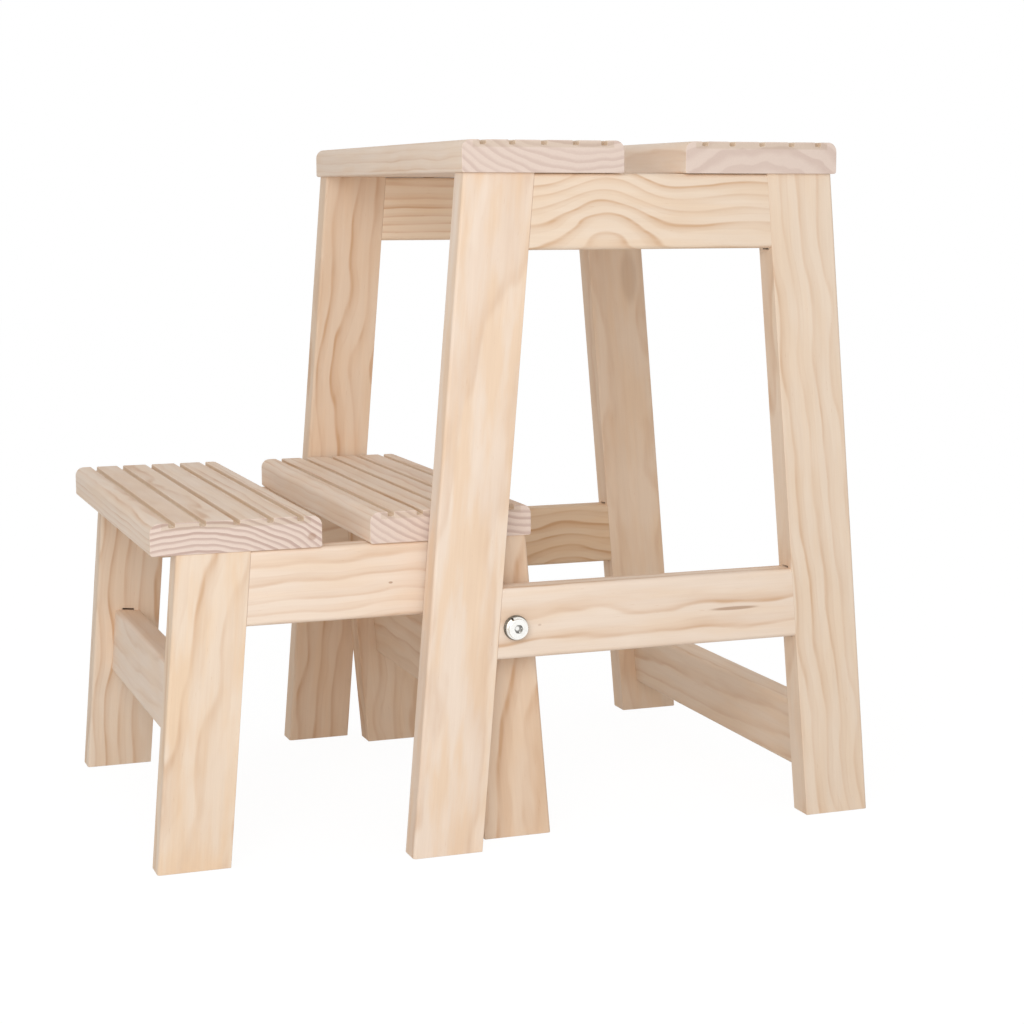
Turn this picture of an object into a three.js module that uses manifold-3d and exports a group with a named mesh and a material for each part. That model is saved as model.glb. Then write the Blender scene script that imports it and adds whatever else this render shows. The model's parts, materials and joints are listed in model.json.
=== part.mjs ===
// Folding step stool chair in solid pine: a tall stool with two seat slats, and a low step that
// swings up and over on two pivot bolts until it lies upside down inside the tall stool.
// Millimetres, +Z up. +Y is the way up the steps, so the low step stands out towards -Y, the front.
// +X is the right-hand side of someone who faces the steps. The origin is on the floor, in the
// middle of the length and the width of the stool as it stands open.
import * as THREE from 'three';
import { mergeVertices } from 'three/addons/utils/BufferGeometryUtils.js';
import Module from 'manifold-3d';

const wasm = await Module();
wasm.setup();

// Timber sections. An arris is the rounded long edge of a board.
const LEG = { width: 46, thickness: 19, arris: 2 };
const RAIL = { height: 46, thickness: 19, arris: 3 };
const SLAT = { width: 107, thickness: 20, topRound: 6, bottomRound: 1.5 };
const GROOVE = { width: 4, depth: 3, innerOffset: 21, outerOffset: 40 };
const LEG_SPLAY = THREE.MathUtils.degToRad(4.85);

// Tall stool. A half spread is measured from the middle of a side frame to a leg's outer edge.
const TALL = {
  width: 344,
  legHeight: 430,
  topHalfSpread: 126,
  frontOverhang: 2,
  rearOverhang: 2,
  endOverhang: 3,
  crossRailBottom: 23.5,
};

// Low step. Its width follows from the room inside the tall stool.
const LOW = {
  sideGap: 5.5,
  legHeight: 200,
  topHalfSpread: 113,
  frontOverhang: 16,
  rearOverhang: 3,
  endOverhang: 1,
  crossRailBottom: 70,
};

// The rails under the slats are a little higher than the others, and end just below the slats
const TOP_RAIL_HEIGHT = 47.3;
const RAIL_DROP = 0.2;

// Mortise and tenon joints
const TENON = { thickness: 8, length: 18, crossLength: 11 };
const MORTISE = { sideClearance: 0.3, endSlack: 1.2, depthClearance: 1 };
const SHOULDER_GAP = 0.25;

// Dowels that hold the slats
const DOWEL = { diameter: 8, inSlat: 12, inFrame: 18, bevel: 1, clearance: 0.2, railInset: 22 };

// Pivot: one bolt on each side, through the tall stool's middle rail and the low step's rear leg
const PIVOT = { fromTallLeg: 10.5, fromLowLegEdge: 21, aboveRailBottom: 20.5, stopClearance: 0.5 };
const BOLT = {
  diameter: 8,
  headDiameter: 13,
  headHeight: 2.4,
  headChamfer: 0.5,
  tipChamfer: 0.8,
  tipLength: 2,
};
const SOCKET = { acrossFlats: 5, depth: 3.2 };
const WASHER = { outerDiameter: 16, thickness: 1.6, edge: 0.25 };
const LOCK_WASHER = { outerDiameter: 14.8, thickness: 2, split: 1.2 };
const SPACER = { outerDiameter: 22, edge: 0.6 };
const NUT = { acrossFlats: 13, height: 6.5, collarDiameter: 11.4, collarHeight: 1.6 };
const HARDWARE = { boreClearance: 0.2, restGap: 0.25 };

// The split of a lock washer slants through the ring, and stands off the top towards the front
const SPLIT_LEAN = THREE.MathUtils.degToRad(22);
const SPLIT_PLACE = THREE.MathUtils.degToRad(31);

// Fineness of round shapes, and how far a cutter runs past what it cuts
const ARRIS_STEPS = 4;
const ROUND_STEPS = 32;
const CUT_OVERRUN = 2;

// Which way a repeated piece lies
const RIGHT = 1;
const LEFT = -1;
const REAR = 1;
const FRONT = -1;
const SIDES = { right: RIGHT, left: LEFT };
const ENDS = { front: FRONT, rear: REAR };

// Sizes that follow from the driving ones
const slope = Math.tan(LEG_SPLAY);
const legSpan = LEG.width / Math.cos(LEG_SPLAY);
const lowWidth = TALL.width - 2 * LEG.thickness - 2 * LOW.sideGap;
const stopHeight = TALL.crossRailBottom + RAIL.height + PIVOT.stopClearance;
const pivotHeight = (stopHeight + LOW.legHeight + SLAT.thickness) / 2;
const middleRailBottom = pivotHeight - PIVOT.aboveRailBottom;

// Outer edge of a leg at a height, from the middle of its side frame
function halfSpread(stool, height) {
  return stool.topHalfSpread + slope * (stool.legHeight - height);
}

// Places along the stool, from the middle of the tall stool's side frames
const pivotY = -(halfSpread(TALL, pivotHeight) - legSpan - PIVOT.fromTallLeg);
const lowMiddleY = pivotY - (halfSpread(LOW, pivotHeight) - PIVOT.fromLowLegEdge);
const frontReach = -lowMiddleY + Math.max(halfSpread(LOW, 0), LOW.topHalfSpread + LOW.frontOverhang);
const rearReach = Math.max(halfSpread(TALL, 0), TALL.topHalfSpread + TALL.rearOverhang);
const originY = (rearReach - frontReach) / 2;

const COLOURS = {
  pine: { color: 0xe9d3b4, roughness: 0.62, metalness: 0 },
  beech: { color: 0xd9b98f, roughness: 0.6, metalness: 0 },
  zinc: { color: 0xe4e4e0, roughness: 0.3, metalness: 0.9 },
  dullZinc: { color: 0x9c8f7e, roughness: 0.45, metalness: 0.8 },
  nylon: { color: 0xeeece4, roughness: 0.5, metalness: 0 },
};

function mesh(name, geometry, finish, x = 0, y = 0, z = 0) {
  const piece = new THREE.Mesh(geometry, new THREE.MeshStandardMaterial(COLOURS[finish]));
  piece.name = name;
  piece.position.set(x, y, z);
  return piece;
}

// Closed solid from a geometry, and a geometry from a solid
function toSolid(geometry) {
  const bare = geometry.clone();
  bare.deleteAttribute('normal');
  bare.deleteAttribute('uv');
  const welded = mergeVertices(bare);
  return new wasm.Manifold(new wasm.Mesh({
    numProp: 3,
    vertProperties: new Float32Array(welded.attributes.position.array),
    triVerts: new Uint32Array(welded.index.array),
  }));
}

function toGeometry(solid) {
  const result = solid.getMesh();
  const geometry = new THREE.BufferGeometry();
  geometry.setAttribute('position', new THREE.BufferAttribute(result.vertProperties, 3));
  geometry.setIndex(new THREE.BufferAttribute(result.triVerts, 1));
  geometry.computeVertexNormals();
  return geometry;
}

function cut(geometry, cutters) {
  let solid = toSolid(geometry);
  for (const cutter of cutters) {
    solid = solid.subtract(toSolid(cutter));
  }
  return toGeometry(solid);
}

// Rectangle centred on the origin, with its four corners rounded
function roundedRectangle(width, height, round) {
  const right = width / 2;
  const top = height / 2;
  const shape = new THREE.Shape();
  shape.absarc(right - round, top - round, round, 0, Math.PI / 2);
  shape.absarc(-right + round, top - round, round, Math.PI / 2, Math.PI);
  shape.absarc(-right + round, -top + round, round, Math.PI, 1.5 * Math.PI);
  shape.absarc(right - round, -top + round, round, 1.5 * Math.PI, 2 * Math.PI);
  shape.closePath();
  return shape;
}

// Extrusion of a shape along one axis, centred on the origin. The shape's own axes are the next
// two in turn: Y and Z for a bar along X, Z and X for a bar along Y, X and Y for a bar along Z.
function extrude(shape, length, axis) {
  const geometry = new THREE.ExtrudeGeometry(shape, {
    depth: length,
    bevelEnabled: false,
    curveSegments: ARRIS_STEPS,
  });
  geometry.translate(0, 0, -length / 2);
  const x = new THREE.Vector3(1, 0, 0);
  const y = new THREE.Vector3(0, 1, 0);
  const z = new THREE.Vector3(0, 0, 1);
  const order = { x: [y, z, x], y: [z, x, y], z: [x, y, z] };
  return geometry.applyMatrix4(new THREE.Matrix4().makeBasis(...order[axis]));
}

// Leans a geometry so that it moves by the given slope along Y for each unit of height
function lean(geometry, bySlope) {
  return geometry.applyMatrix4(new THREE.Matrix4().makeShear(0, 0, 0, 0, 0, bySlope));
}

// Stretches a bar of unit length along Y to its real length, which depends on the height
function stretchEnds(geometry, halfLengthAt) {
  const points = geometry.attributes.position;
  for (let i = 0; i < points.count; i += 1) {
    points.setY(i, 2 * points.getY(i) * halfLengthAt(points.getZ(i)));
  }
  return geometry;
}

function cylinderAlongX(radius, length) {
  return new THREE.CylinderGeometry(radius, radius, length, ROUND_STEPS).rotateZ(Math.PI / 2);
}

function hexagonAlongX(acrossFlats, length) {
  const corner = acrossFlats / (2 * Math.cos(Math.PI / 6));
  return new THREE.CylinderGeometry(corner, corner, length, 6).rotateZ(Math.PI / 2);
}

// Upright bore for a dowel that goes down from the height given
function dowelBore(x, y, top, depth) {
  const radius = DOWEL.diameter / 2 + DOWEL.clearance;
  const length = depth + DOWEL.clearance + CUT_OVERRUN;
  return new THREE.CylinderGeometry(radius, radius, length, ROUND_STEPS / 2)
    .rotateX(Math.PI / 2)
    .translate(x, y, top + CUT_OVERRUN - length / 2);
}

// Bore for a dowel in the underside of a slat
function slatDowelBore(x, y) {
  return dowelBore(x, y, DOWEL.inSlat, DOWEL.inSlat + CUT_OVERRUN)
    .translate(0, 0, DOWEL.clearance - CUT_OVERRUN);
}

// Where the parts of a stool lie, in the frame of that stool
function layout(stool, width) {
  const railBottom = stool.legHeight - RAIL_DROP - TOP_RAIL_HEIGHT;
  const crossMiddle = stool.crossRailBottom + RAIL.height / 2;
  return {
    stool,
    railBottom,
    crossMiddle,
    outerX: width / 2,
    frameX: (width - LEG.thickness) / 2,
    footY: halfSpread(stool, 0) - legSpan / 2,
    crossY: halfSpread(stool, crossMiddle) - legSpan / 2,
    legDowelY: stool.topHalfSpread - (legSpan - TENON.length - MORTISE.depthClearance) / 2,
  };
}

const tall = layout(TALL, TALL.width);
const low = layout(LOW, lowWidth);

// Slats of a stool, by the place of their middle and of the dowel that goes into the rail
function slatPlaces(stool) {
  const frontEdge = -(stool.topHalfSpread + stool.frontOverhang);
  const rearEdge = stool.topHalfSpread + stool.rearOverhang;
  return {
    front: { middle: frontEdge + SLAT.width / 2, railDowelY: frontEdge + SLAT.width - DOWEL.railInset },
    rear: { middle: rearEdge - SLAT.width / 2, railDowelY: rearEdge - SLAT.width + DOWEL.railInset },
  };
}

// Mortise in a leg's narrow inner edge, for a side rail whose bottom and top are given
function sideMortise(end, bottom, top) {
  const width = TENON.thickness + 2 * MORTISE.sideClearance;
  const depth = TENON.length + MORTISE.depthClearance;
  const inner = (legSpan - depth + CUT_OVERRUN) / 2;
  const box = new THREE.BoxGeometry(width, depth + CUT_OVERRUN, top - bottom)
    .translate(0, -end * inner, (top + bottom) / 2);
  return lean(box, -end * slope);
}

// Mortise in a leg's broad inner face, for a cross rail that leans with the leg
function crossMortise(place, side, end) {
  const width = TENON.thickness + 2 * MORTISE.sideClearance;
  const depth = TENON.crossLength + MORTISE.depthClearance;
  const height = RAIL.height + 2 * MORTISE.endSlack;
  const inner = (LEG.thickness - depth + CUT_OVERRUN) / 2;
  return new THREE.BoxGeometry(depth + CUT_OVERRUN, width, height)
    .rotateX(end * LEG_SPLAY)
    .translate(-side * inner, end * (place.crossY - place.footY), place.crossMiddle);
}

// Bore for a pivot bolt through one thickness of timber
function pivotBore(y, z) {
  const radius = BOLT.diameter / 2 + HARDWARE.boreClearance;
  return cylinderAlongX(radius, LEG.thickness + 2 * CUT_OVERRUN).translate(0, y, z);
}

// Leg with its mortises and bores. Its own origin is the middle of its foot.
function legGeometry(place, side, end, { hasMiddleRail, hasCrossRail, hasPivot }) {
  const { stool } = place;
  const section = roundedRectangle(LEG.thickness, legSpan, LEG.arris);
  const upright = extrude(section, stool.legHeight, 'z').translate(0, 0, stool.legHeight / 2);
  const cutters = [
    sideMortise(end, place.railBottom - MORTISE.endSlack, stool.legHeight + CUT_OVERRUN),
    dowelBore(0, end * (place.legDowelY - place.footY), stool.legHeight, DOWEL.inFrame),
  ];
  if (hasMiddleRail) {
    const top = middleRailBottom + RAIL.height;
    cutters.push(sideMortise(end, middleRailBottom - MORTISE.endSlack, top + MORTISE.endSlack));
  }
  if (hasCrossRail) {
    cutters.push(crossMortise(place, side, end));
  }
  if (hasPivot) {
    const y = halfSpread(stool, pivotHeight) - PIVOT.fromLowLegEdge - place.footY;
    cutters.push(pivotBore(y, pivotHeight));
  }
  return cut(lean(upright, -end * slope), cutters);
}

// Side rail with a tenon at each end. Its own origin is under its middle, at its bottom.
function sideRailGeometry(place, bottom, height, cutters) {
  const shoulder = (z) => halfSpread(place.stool, bottom + z) - legSpan - SHOULDER_GAP;
  const section = roundedRectangle(height, RAIL.thickness, RAIL.arris);
  const body = extrude(section, 1, 'y').translate(0, 0, height / 2);
  const bar = new THREE.BoxGeometry(TENON.thickness, 1, height).translate(0, 0, height / 2);
  stretchEnds(body, shoulder);
  stretchEnds(bar, (z) => shoulder(z) + SHOULDER_GAP + TENON.length);
  return cut(toGeometry(toSolid(body).add(toSolid(bar))), cutters);
}

// Cross rail between two legs, with a tenon at each end. Its own origin is its middle.
function crossRailGeometry(place) {
  const shoulder = place.outerX - LEG.thickness - SHOULDER_GAP;
  const reach = place.outerX - LEG.thickness + TENON.crossLength;
  const section = roundedRectangle(RAIL.thickness, RAIL.height, RAIL.arris);
  const body = extrude(section, 2 * shoulder, 'x');
  const bar = new THREE.BoxGeometry(2 * reach, TENON.thickness, RAIL.height);
  return toGeometry(toSolid(body).add(toSolid(bar)));
}

// Outline of a slat across its width: rounded long edges, and five grooves in the top
function slatShape() {
  const { thickness, topRound, bottomRound } = SLAT;
  const half = SLAT.width / 2;
  const grooveHalf = GROOVE.width / 2;
  const grooves = [GROOVE.outerOffset, GROOVE.innerOffset, 0, -GROOVE.innerOffset, -GROOVE.outerOffset];
  const shape = new THREE.Shape();
  shape.absarc(-half + bottomRound, bottomRound, bottomRound, Math.PI, 1.5 * Math.PI);
  shape.absarc(half - bottomRound, bottomRound, bottomRound, 1.5 * Math.PI, 2 * Math.PI);
  shape.absarc(half - topRound, thickness - topRound, topRound, 0, Math.PI / 2);
  for (const offset of grooves) {
    shape.lineTo(offset + grooveHalf, thickness);
    shape.lineTo(offset + grooveHalf, thickness - GROOVE.depth);
    shape.lineTo(offset - grooveHalf, thickness - GROOVE.depth);
    shape.lineTo(offset - grooveHalf, thickness);
  }
  shape.absarc(-half + topRound, thickness - topRound, topRound, Math.PI / 2, Math.PI);
  shape.closePath();
  return shape;
}

// Slat with bores in its underside for the dowels. Its own origin is under its middle.
function slatGeometry(place, dowelYs) {
  const board = extrude(slatShape(), 2 * (place.outerX + place.stool.endOverhang), 'x');
  const cutters = [];
  for (const side of Object.values(SIDES)) {
    for (const y of dowelYs) {
      cutters.push(slatDowelBore(side * place.frameX, y));
    }
  }
  return cut(board, cutters);
}

// Dowel with bevelled tips. Its own origin is where it passes from the frame into the slat.
function dowelGeometry() {
  const radius = DOWEL.diameter / 2;
  const profile = [
    new THREE.Vector2(0, -DOWEL.inFrame),
    new THREE.Vector2(radius - DOWEL.bevel, -DOWEL.inFrame),
    new THREE.Vector2(radius, -DOWEL.inFrame + DOWEL.bevel),
    new THREE.Vector2(radius, DOWEL.inSlat - DOWEL.bevel),
    new THREE.Vector2(radius - DOWEL.bevel, DOWEL.inSlat),
    new THREE.Vector2(0, DOWEL.inSlat),
  ];
  return new THREE.LatheGeometry(profile, ROUND_STEPS / 2).rotateX(Math.PI / 2);
}

// Calls a function once for each of the two sides
function forEachSide(make) {
  return Object.entries(SIDES).map(([sideName, side]) => make(sideName, side));
}

function legs(name, place, details) {
  return Object.entries(ENDS).flatMap(([endName, end]) => forEachSide((sideName, side) => {
    const geometry = legGeometry(place, side, end, {
      hasMiddleRail: details.middleRail,
      hasCrossRail: details.crossRails.includes(endName),
      hasPivot: details.pivotLegs && end === REAR,
    });
    const full = `${name}_leg_${endName}_${sideName}`;
    return mesh(full, geometry, 'pine', side * place.frameX, end * place.footY, 0);
  }));
}

// Rails under the ends of the slats
function topRails(name, place) {
  const bores = Object.values(slatPlaces(place.stool))
    .map((slat) => dowelBore(0, slat.railDowelY, TOP_RAIL_HEIGHT, DOWEL.inFrame - RAIL_DROP));
  return forEachSide((sideName, side) => {
    const geometry = sideRailGeometry(place, place.railBottom, TOP_RAIL_HEIGHT, bores);
    const full = `${name}_top_rail_${sideName}`;
    return mesh(full, geometry, 'pine', side * place.frameX, 0, place.railBottom);
  });
}

// Rails half way up, which carry the pivot bolts
function middleRails(name, place) {
  return forEachSide((sideName, side) => {
    const bore = pivotBore(pivotY, PIVOT.aboveRailBottom);
    const geometry = sideRailGeometry(place, middleRailBottom, RAIL.height, [bore]);
    const full = `${name}_middle_rail_${sideName}`;
    return mesh(full, geometry, 'pine', side * place.frameX, 0, middleRailBottom);
  });
}

function crossRail(name, place, endName) {
  const y = ENDS[endName] * place.crossY;
  const full = `${name}_cross_rail_${endName}`;
  const rail = mesh(full, crossRailGeometry(place), 'pine', 0, y, place.crossMiddle);
  rail.rotation.x = ENDS[endName] * LEG_SPLAY;
  return rail;
}

// One slat with its four dowels, two into the legs and two into the top rails
function slatWithDowels(name, place, endName) {
  const top = place.stool.legHeight;
  const { middle, railDowelY } = slatPlaces(place.stool)[endName];
  const seats = { leg: ENDS[endName] * place.legDowelY, rail: railDowelY };
  const geometry = slatGeometry(place, Object.values(seats).map((y) => y - middle));
  const dowels = forEachSide((sideName, side) => Object.entries(seats).map(([seat, y]) => {
    const full = `${name}_dowel_${endName}_${sideName}_${seat}`;
    return mesh(full, dowelGeometry(), 'beech', side * place.frameX, y, top);
  }));
  return [mesh(`${name}_slat_${endName}`, geometry, 'pine', 0, middle, top), ...dowels.flat()];
}

// Everything of one stool but its pivots
function stoolGroup(name, place, details) {
  const group = new THREE.Group();
  group.add(...legs(name, place, details), ...topRails(name, place));
  if (details.middleRail) {
    group.add(...middleRails(name, place));
  }
  for (const endName of details.crossRails) {
    group.add(crossRail(name, place, endName));
  }
  for (const endName of Object.keys(ENDS)) {
    group.add(...slatWithDowels(name, place, endName));
  }
  return group;
}

// Ring round the X axis that starts at zero and runs towards +X, with a small edge bevel
function ringGeometry(outerDiameter, thickness, edge) {
  const outer = outerDiameter / 2;
  const inner = BOLT.diameter / 2 + HARDWARE.boreClearance;
  const profile = [
    new THREE.Vector2(inner, 0),
    new THREE.Vector2(outer - edge, 0),
    new THREE.Vector2(outer, edge),
    new THREE.Vector2(outer, thickness - edge),
    new THREE.Vector2(outer - edge, thickness),
    new THREE.Vector2(inner, thickness),
    new THREE.Vector2(inner, 0),
  ];
  return new THREE.LatheGeometry(profile, ROUND_STEPS).rotateZ(-Math.PI / 2);
}

function lockWasherGeometry() {
  const { outerDiameter, thickness, split } = LOCK_WASHER;
  const ring = ringGeometry(outerDiameter, thickness, WASHER.edge);
  const slot = new THREE.BoxGeometry(2 * thickness + CUT_OVERRUN, split, outerDiameter)
    .rotateZ(SPLIT_LEAN)
    .translate(thickness / 2, 0, outerDiameter / 2)
    .rotateX(SPLIT_PLACE);
  return cut(ring, [slot]);
}

// Bolt along the X axis: the head's underside is at zero, the head towards +X, the shank towards -X
function boltGeometry(length) {
  const head = BOLT.headDiameter / 2;
  const shank = BOLT.diameter / 2;
  const tip = shank - BOLT.tipChamfer;
  const profile = [
    new THREE.Vector2(0, -length),
    new THREE.Vector2(tip, -length),
    new THREE.Vector2(shank, -length + BOLT.tipChamfer),
    new THREE.Vector2(shank, 0),
    new THREE.Vector2(head, 0),
    new THREE.Vector2(head, BOLT.headHeight - BOLT.headChamfer),
    new THREE.Vector2(head - BOLT.headChamfer, BOLT.headHeight),
    new THREE.Vector2(0, BOLT.headHeight),
  ];
  const body = new THREE.LatheGeometry(profile, ROUND_STEPS).rotateZ(-Math.PI / 2);
  const socket = hexagonAlongX(SOCKET.acrossFlats, SOCKET.depth + CUT_OVERRUN)
    .translate(BOLT.headHeight - (SOCKET.depth - CUT_OVERRUN) / 2, 0, 0);
  return cut(body, [socket]);
}

// Lock nut that starts at zero and runs towards -X: a hexagon, then the collar of its nylon ring
function nutGeometry() {
  const length = NUT.height + NUT.collarHeight;
  const boreRadius = BOLT.diameter / 2 + HARDWARE.boreClearance;
  const hexagon = hexagonAlongX(NUT.acrossFlats, NUT.height).translate(-NUT.height / 2, 0, 0);
  const collar = cylinderAlongX(NUT.collarDiameter / 2, length).translate(-length / 2, 0, 0);
  const bore = cylinderAlongX(boreRadius, 2 * (length + CUT_OVERRUN));
  return toGeometry(toSolid(hexagon).add(toSolid(collar)).subtract(toSolid(bore)));
}

// Bolt, washers, spacer and nut of one pivot, laid out along X from the middle of the stool
function pivotGroup(sideName) {
  const gap = HARDWARE.restGap;
  const washerX = tall.outerX + gap;
  const lockWasherX = washerX + WASHER.thickness + gap;
  const headX = lockWasherX + LOCK_WASHER.thickness + gap;
  const innerWasherX = low.outerX - LEG.thickness - gap - WASHER.thickness;
  const nutX = innerWasherX - gap;
  const tipX = nutX - NUT.height - NUT.collarHeight - BOLT.tipLength;
  const washer = () => ringGeometry(WASHER.outerDiameter, WASHER.thickness, WASHER.edge);
  const spacer = ringGeometry(SPACER.outerDiameter, LOW.sideGap - 2 * gap, SPACER.edge);
  const group = new THREE.Group();
  group.add(
    mesh(`pivot_washer_${sideName}`, washer(), 'dullZinc', washerX),
    mesh(`pivot_lock_washer_${sideName}`, lockWasherGeometry(), 'zinc', lockWasherX),
    mesh(`pivot_bolt_${sideName}`, boltGeometry(headX - tipX), 'zinc', headX),
    mesh(`pivot_spacer_${sideName}`, spacer, 'nylon', low.outerX + gap),
    mesh(`pivot_inner_washer_${sideName}`, washer(), 'dullZinc', innerWasherX),
    mesh(`pivot_nut_${sideName}`, nutGeometry(), 'zinc', nutX),
  );
  group.position.set(0, pivotY, pivotHeight);
  return group;
}

const tallStool = stoolGroup('tall', tall, {
  middleRail: true,
  crossRails: ['rear'],
  pivotLegs: false,
});

const lowStep = stoolGroup('low', low, {
  middleRail: false,
  crossRails: ['front', 'rear'],
  pivotLegs: true,
});
lowStep.position.set(0, lowMiddleY, 0);

const rightPivot = pivotGroup('right');
const leftPivot = pivotGroup('left');
leftPivot.rotation.z = Math.PI;

const stool = new THREE.Group();
stool.add(tallStool, lowStep, rightPivot, leftPivot);
stool.position.set(0, -originY, 0);

export default stool;
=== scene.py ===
"""Looks of the folding step stool chair: sawn pine boards, dowels, pivot bolts, light and camera.

Boards and hardware are worked out in millimetres and put into meshes in metres. A board has
coordinates of its own, measured from its middle: u along the grain, v across it, w through the
thickness. Its outline and its growth rings are both given in them.
"""
import json
import math

import bpy
import numpy as np
from mathutils import Matrix, Vector


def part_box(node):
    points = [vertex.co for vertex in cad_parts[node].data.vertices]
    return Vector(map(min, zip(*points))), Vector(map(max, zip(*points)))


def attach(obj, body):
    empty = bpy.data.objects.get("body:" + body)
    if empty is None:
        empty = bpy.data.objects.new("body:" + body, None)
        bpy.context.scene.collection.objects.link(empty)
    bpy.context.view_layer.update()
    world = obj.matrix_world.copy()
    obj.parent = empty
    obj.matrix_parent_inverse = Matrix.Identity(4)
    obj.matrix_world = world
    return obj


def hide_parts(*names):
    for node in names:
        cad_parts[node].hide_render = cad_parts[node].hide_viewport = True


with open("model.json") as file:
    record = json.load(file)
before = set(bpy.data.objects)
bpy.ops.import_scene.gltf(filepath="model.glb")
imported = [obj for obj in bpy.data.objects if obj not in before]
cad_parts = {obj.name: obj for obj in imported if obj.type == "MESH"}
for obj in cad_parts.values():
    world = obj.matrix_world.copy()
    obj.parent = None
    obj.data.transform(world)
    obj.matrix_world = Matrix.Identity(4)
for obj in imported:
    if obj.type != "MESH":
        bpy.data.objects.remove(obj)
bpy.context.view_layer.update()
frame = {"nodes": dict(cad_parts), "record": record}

MM = 0.001
FULL_TURN = 2 * math.pi
SHARP_ANGLE = math.radians(32)
BODY_OF = {node: body
           for body, nodes in frame["record"]["behaviour"]["bodies"].items() for node in nodes}

# Sizes of the timber, in mm
LEAN = math.radians(4.85)
SLOPE = math.tan(LEAN)
LEG_WIDTH, RAIL_HEIGHT, THICKNESS = 46, 46, 19
LEG_SPAN = LEG_WIDTH / math.cos(LEAN)
OUTER_ARRIS, INNER_ARRIS, RAIL_ARRIS = 2, 0.4, 3
END_EASE, SHOULDER_EASE = 0.35, 0.05
SLAT_WIDTH, SLAT_THICKNESS, SLAT_TOP_ROUND, SLAT_BOTTOM_ROUND = 107, 20, 6, 1.5
GROOVE_WIDTH, GROOVE_DEPTH, GROOVE_LIP, GROOVE_ROOT = 4, 3, 0.8, 0.8
GROOVE_PLACES = (-40, -21, 0, 21, 40)
LEG_HEIGHT = {"tall": 430, "low": 200}
TOP_HALF_SPREAD = {"tall": 126, "low": 113}
TENON_THICKNESS, TENON_SIDE, TENON_CROSS, SHOULDER_GAP = 8, 18, 11, 0.03
TENON_NARROWER, TENON_ROUND, TENON_TIP_INSET, TENON_TIP_LENGTH = 0.6, 0.5, 0.45, 1.5
MORTISE_WIDTH, MORTISE_SLACK, MORTISE_SPARE = 8.6, 1.2, 1
BORE_CLEARANCE, BORE_CORNERS = 0.2, 48
PIVOT_BORE, PIVOT_BORE_REACH = 8.4, 100
DOWEL_RADIUS, DOWEL_BEVEL, FLUTES, FLUTE_DEPTH = 4.0, 1.0, 14, 0.28
OVERRUN = 2

# Sizes of the hardware, in mm. A hexagon's radius is half its width across the flats.
HOLE_RADIUS = 4.2
BOLT_RADIUS, HEAD_RADIUS, HEAD_HEIGHT, HEAD_ROUND = 4.0, 6.5, 2.4, 0.5
SOCKET_RADIUS, SOCKET_DEPTH, SOCKET_BEVEL = 2.5, 3.3, 0.15
THREAD_LOW, THREAD_HIGH, THREAD_DEPTH, THREAD_PITCH = 1.0, 25.5, 0.55, 1.25
THREAD_STEP, THREAD_LEAD_IN, THREAD_RUN_OUT = 0.16, 0.8, 1.5
WASHER_RADIUS, WASHER_THICKNESS, WASHER_EDGE = 8.0, 1.6, 0.3
LOCK_RADIUS, LOCK_THICKNESS, LOCK_EDGE = 7.4, 2.0, 0.3
SPLIT_HALF_WIDTH, SPLIT_STEP, SPLIT_FLARE = 0.6, 0.18, 0.35
SPLIT_LEAN, SPLIT_PAST_TOP = math.radians(22), math.radians(31)
SPACER_RADIUS, SPACER_THICKNESS, SPACER_EDGE = 11.0, 5.0, 0.7
RING_BEVEL = 0.15
NUT_RADIUS, NUT_HEIGHT, NUT_CONE_RADIUS, NUT_CONE_SLOPE = 6.5, 6.5, 6.1, 1.7
COLLAR_HEIGHT, COLLAR_LIP, COLLAR_LIP_PLACE = 1.6, 0.9, 4.8

ENDS = {"front": -1, "rear": 1}
SIDES = {"right": 1, "left": -1}


# Meshes
def centre(node):
    """Middle of a CAD node's box, in mm."""
    low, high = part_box(node)
    return np.array((low + high) / 2) / MM


def half_box(node):
    """Half the size of a CAD node's box, in mm."""
    low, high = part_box(node)
    return np.array((high - low) / 2) / MM


def outward(mesh):
    """Turns all faces over where the volume they enclose comes out negative."""
    mesh.update()
    mesh.calc_loop_triangles()
    points = np.empty(len(mesh.vertices) * 3)
    mesh.vertices.foreach_get("co", points)
    corners = np.empty(len(mesh.loop_triangles) * 3, int)
    mesh.loop_triangles.foreach_get("vertices", corners)
    a, b, c = points.reshape(-1, 3)[corners].reshape(-1, 3, 3).transpose(1, 0, 2)
    if np.einsum("ij,ij->i", a, np.cross(b, c)).sum() < 0:
        mesh.flip_normals()
    return mesh


def skin(name, rings, looped=False):
    """Skin over a stack of outlines: quads join each outline to the next one, point by point. In
    a looped stack the last outline joins the first, and otherwise one flat face closes each end.
    rings is an array (outlines, points, 3) in mm."""
    rings = np.asarray(rings, float)
    index = np.arange(rings[..., 0].size).reshape(rings.shape[:2])
    here, ahead, ends = index, np.roll(index, -1, 0), []
    if not looped:
        here, ahead = here[:-1], ahead[:-1]
        ends = [index[0, ::-1].tolist(), index[-1].tolist()]
    quads = np.stack([here, np.roll(here, -1, 1), np.roll(ahead, -1, 1), ahead], -1)
    mesh = bpy.data.meshes.new(name)
    mesh.from_pydata((rings.reshape(-1, 3) * MM).tolist(), [], quads.reshape(-1, 4).tolist() + ends)
    return outward(mesh)


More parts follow.
